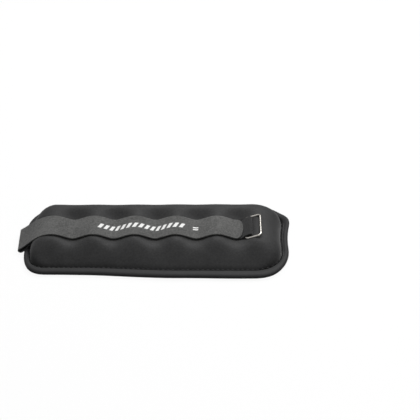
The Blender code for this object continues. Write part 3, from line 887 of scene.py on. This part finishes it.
def tack_seams(material):
    """A bar tack is a dense zigzag of thread across the base strap."""
    for k in range(1, CHAMBERS):
        low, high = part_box(f"tack_seam_{k}")
        places = []
        count = 30
        for i in range(count):
            y = low.y + (high.y - low.y) * (i + 0.5) / count
            middle = ((low.x + high.x) / 2, y, (low.z + high.z) / 2 - 0.0001)
            lean = 0.45 if i % 2 else -0.45
            places.append((middle, (0.93, lean, -0.37), (0.37, 0, 0.93)))
        piece = stitches(f"bar_tack_{k}", places, 0.0024, 0.00032, material)
        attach(piece, f"chamber_{k}")
        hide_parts(f"tack_seam_{k}")


# ---------------------------------------------------------------- ring and its webbing loop
# The loop's middle line, in millimetres from the last valley at the foot of the cuff.
LOOP_LINE = (
    (0.7, 19.2), (4.6, 19.8), (8.6, 21.0), (12.6, 23.0), (16.4, 25.0), (18.4, 26.3),
    (19.6, 28.0), (19.2, 29.9), (17.4, 30.6), (15.0, 29.5), (12.4, 27.9), (10.4, 26.9),
    (9.0, 25.6), (7.9, 23.6), (6.4, 22.2), (4.4, 21.4), (1.8, 20.8),
)


def through(points, count):
    """A smooth curve through the given points."""
    points = np.array(points, float)
    padded = np.concatenate([[2 * points[0] - points[1]], points, [2 * points[-1] - points[-2]]])
    curve = []
    for i in range(len(points) - 1):
        a, b, c, d = padded[i:i + 4]
        for t in np.linspace(0, 1, count, endpoint=False):
            curve.append(0.5 * (2 * b + (c - a) * t + (2 * a - 5 * b + 4 * c - d) * t ** 2
                                + (3 * b - a - 3 * c + d) * t ** 3))
    curve.append(points[-1])
    return np.array(curve)


def ring_loop(material, thread):
    line = through(LOOP_LINE, 8) / 1000
    points = [Vector((VALLEYS[-1] + x, 0, z)) for x, z in line]
    path, at = even_path(points, 0.0007)
    loop = tape("ring_loop", path, at, LOOP_WIDTH / 2, -LOOP_CLOTH / 2, LOOP_CLOTH / 2, material, 17)
    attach(loop, "chamber_6")
    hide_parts("ring_loop")
    places = []
    for dx, z in ((4.6, 22.25), (6.2, 22.85)):
        for y in np.arange(-0.0150, 0.0151, 0.0030):
            places.append(((VALLEYS[-1] + dx / 1000, y, z / 1000), (0, 1, 0), (-0.35, 0, 0.94)))
    seam = stitches("ring_loop_stitching", places, 0.0023, 0.00028, thread)
    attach(seam, "chamber_6")


def ring(material):
    """Wire bent to a rectangle and butt-welded at its near outer corner."""
    run, climb = RING_HIGH.x - WIRE_RADIUS - RING_PIVOT.x, RING_HIGH.z - WIRE_RADIUS - RING_PIVOT.z
    direction = Vector((run, 0, climb))
    along = direction.normalized()
    length = direction.length
    half = RING_HIGH.y - WIRE_RADIUS
    outline = []
    corners = ((0, half, math.pi / 2), (0, -half, math.pi),
               (length, -half, 1.5 * math.pi), (length, half, 0.0))
    for u, y, first in corners:
        cu = u + (RING_CORNER if u == 0 else -RING_CORNER)
        cy = y - math.copysign(RING_CORNER, y)
        for t in np.linspace(0, math.pi / 2, 10):
            outline.append((cu + RING_CORNER * math.cos(first + t), cy + RING_CORNER * math.sin(first + t)))
    outline = np.array(outline + outline[:1])
    lengths = run_lengths(outline)
    count = 220
    at = np.linspace(0, lengths[-1], count, endpoint=False)
    line = resampled(outline, lengths, at)
    tangent = loop_tangents(line)
    weld = at[int(np.argmin(np.hypot(line[:, 0] - length + 0.0035, line[:, 1] + half)))]
    up = Vector((-along.z, 0, along.x))
    sides = 18
    points = []
    for (u, y), (tu, ty), s in zip(line, tangent, at):
        bead = math.exp(-(((s - weld) / 0.0009) ** 2)) - 0.55 * math.exp(-(((s - weld) / 0.00028) ** 2))
        radius = WIRE_RADIUS * (1 + 0.16 * bead)
        centre = RING_PIVOT + along * u + Vector((0, y, 0))
        side = along * ty - Vector((0, tu, 0))
        for k in range(sides):
            angle = 2 * math.pi * k / sides
            points.append(centre + (side * math.cos(angle) + up * math.sin(angle)) * radius)
    obj = mesh_from("wire_ring", points, sheet_faces(count, sides, True, True), material)
    recalculate_normals(obj)
    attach(obj, "ring")
    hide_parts("ring")


# ---------------------------------------------------------------- studio
CAMERA_PITCH = math.radians(42)
CAMERA_DISTANCE = 1.6
CAMERA_RIGHT = 0.0737       # the camera stands this far to the right of the cuff's middle
CAMERA_UP = 0.0431
FOCAL_SHARE = 2.790         # focal length as a share of the picture's width
SKY_LOW, SKY_HIGH = 0.12, 0.75
KEY_POWER, FILL_POWER = 15, 1.2
FLOOR_SHARE = 0.08


def camera():
    data = bpy.data.cameras.new("camera")
    data.sensor_width = 36
    data.lens = 36 * FOCAL_SHARE
    obj = link(bpy.data.objects.new("camera", data))
    view = Vector((0, math.cos(CAMERA_PITCH), -math.sin(CAMERA_PITCH)))
    up = Vector((0, math.sin(CAMERA_PITCH), math.cos(CAMERA_PITCH)))
    obj.location = Vector((MIDDLE + CAMERA_RIGHT, 0, 0)) - view * CAMERA_DISTANCE + up * CAMERA_UP
    obj.rotation_euler = view.to_track_quat("-Z", "Y").to_euler()
    bpy.context.scene.camera = obj


def area_light(name, place, target, size, power):
    data = bpy.data.lights.new(name, "AREA")
    data.shape = "RECTANGLE"
    data.size, data.size_y = size
    data.energy = power
    obj = link(bpy.data.objects.new(name, data))
    obj.location = place
    obj.rotation_euler = (Vector(target) - Vector(place)).to_track_quat("-Z", "Y").to_euler()


def white_world():
    """Pure white behind the object, but a dimmer sky above it and a darker one below for its light."""
    world = bpy.data.worlds.new("white_studio")
    bpy.context.scene.world = world
    world.use_nodes = True
    tree = world.node_tree
    seen = tree.nodes["Background"]
    seen.inputs["Color"].default_value = (1, 1, 1, 1)
    place = tree.nodes.new("ShaderNodeTexCoord")
    split = tree.nodes.new("ShaderNodeSeparateXYZ")
    tree.links.new(place.outputs["Generated"], split.inputs[0])
    sky = tree.nodes.new("ShaderNodeMapRange")
    sky.interpolation_type = "SMOOTHSTEP"
    for name, value in (("From Min", -0.1), ("From Max", 0.9), ("To Min", SKY_LOW), ("To Max", SKY_HIGH)):
        sky.inputs[name].default_value = value
    tree.links.new(split.outputs["Z"], sky.inputs["Value"])
    lit = tree.nodes.new("ShaderNodeBackground")
    tree.links.new(sky.outputs["Result"], lit.inputs["Strength"])
    rays = tree.nodes.new("ShaderNodeLightPath")
    mix = tree.nodes.new("ShaderNodeMixShader")
    tree.links.new(rays.outputs["Is Camera Ray"], mix.inputs[0])
    tree.links.new(lit.outputs[0], mix.inputs[1])
    tree.links.new(seen.outputs[0], mix.inputs[2])
    tree.links.new(mix.outputs[0], tree.nodes["World Output"].inputs["Surface"])


def studio():
    white_world()
    area_light("key", (0.35, 0.55, 1.15), (0, 0, 0), (1.3, 0.7), KEY_POWER)
    area_light("fill", (0.5, -1.1, 0.7), (0, 0, 0), (0.8, 0.6), FILL_POWER)
    bpy.context.scene.view_settings.view_transform = "Standard"
    bpy.ops.mesh.primitive_plane_add(size=6, location=(0, 0, -0.0006))
    floor = bpy.context.object
    floor.name = "floor"
    m = Nodes("floor", (0.9, 0.9, 0.9), 0.9)
    clear = m.node("ShaderNodeBsdfTransparent")
    mix = m.node("ShaderNodeMixShader")
    mix.inputs[0].default_value = FLOOR_SHARE
    m.join(clear.outputs[0], mix.inputs[1])
    m.join(m.shader.outputs[0], mix.inputs[2])
    m.join(mix.outputs[0], m.tree.nodes["Material Output"].inputs["Surface"])
    floor.data.materials.append(m.material)


# ---------------------------------------------------------------- the cuff
camera()
studio()
NEOPRENE = neoprene_material("neoprene_top", (0.010, 0.010, 0.0103), (0.0265, 0.0265, 0.0272), 0.25)
BACKING = neoprene_material("neoprene_back", (0.018, 0.018, 0.019), (0.028, 0.028, 0.029), 0.15)
BINDING = neoprene_material("binding", (0.010, 0.010, 0.0108), (0.016, 0.016, 0.0172), 0.22)
GREY_STRAP = webbing_material(
    "strap_grey", (0.046, 0.046, 0.045), (0.124, 0.124, 0.121), 0.0011, 0.8, 0.2, True)
BLACK_WEBBING = webbing_material(
    "black_webbing", (0.010, 0.010, 0.010), (0.022, 0.022, 0.023), 0.0014, 0.75)
HOOKS = hook_material()
THREAD = thread_material("thread", (0.030, 0.030, 0.031))

top_cover(NEOPRENE)
back_cover(BACKING)
edge_binding(BINDING)
edge_stitches(THREAD)
closing_strap(GREY_STRAP, HOOKS)
base_strap(BLACK_WEBBING)
tack_seams(THREAD)
ring_loop(BLACK_WEBBING, THREAD)
ring(nickel_material())

BAG = cloth_bag_material()
for number in range(1, CHAMBERS + 1):
    bag = frame["nodes"][f"weight_bag_{number}"]
    bag.data.materials.clear()
    bag.data.materials.append(BAG)
